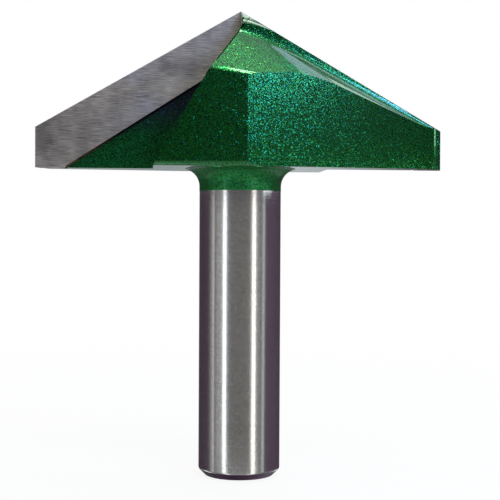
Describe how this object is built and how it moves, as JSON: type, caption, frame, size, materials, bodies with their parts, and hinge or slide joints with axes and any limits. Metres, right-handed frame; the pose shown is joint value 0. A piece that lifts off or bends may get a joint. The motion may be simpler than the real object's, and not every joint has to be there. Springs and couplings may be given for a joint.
{
  "type": "v-groove router bit",
  "caption": "Wide v-groove router bit: a painted steel head with brazed carbide cutting plates meeting at a point, on a plain ground shank.",
  "frame": {"origin": "centre of the flat end of the shank, which the bit stands on", "axes": "+Z along the shank to the point of the head; X along the two cutting edges; -Y is the side that the cutting face of the -X wing looks to"},
  "size_m": [0.06, 0.0176, 0.0682],
  "materials": {
    "bit_body": "one piece of steel: the head and collar in glossy green metallic paint, the shank left bare and ground bright",
    "carbide": "tungsten carbide with a fine ground face, mid grey"
  },
  "bodies": {
    "root": {"bit_body": "bit_body", "carbide_tip_left": "carbide", "carbide_tip_right": "carbide"}
  },
  "joints": []
}
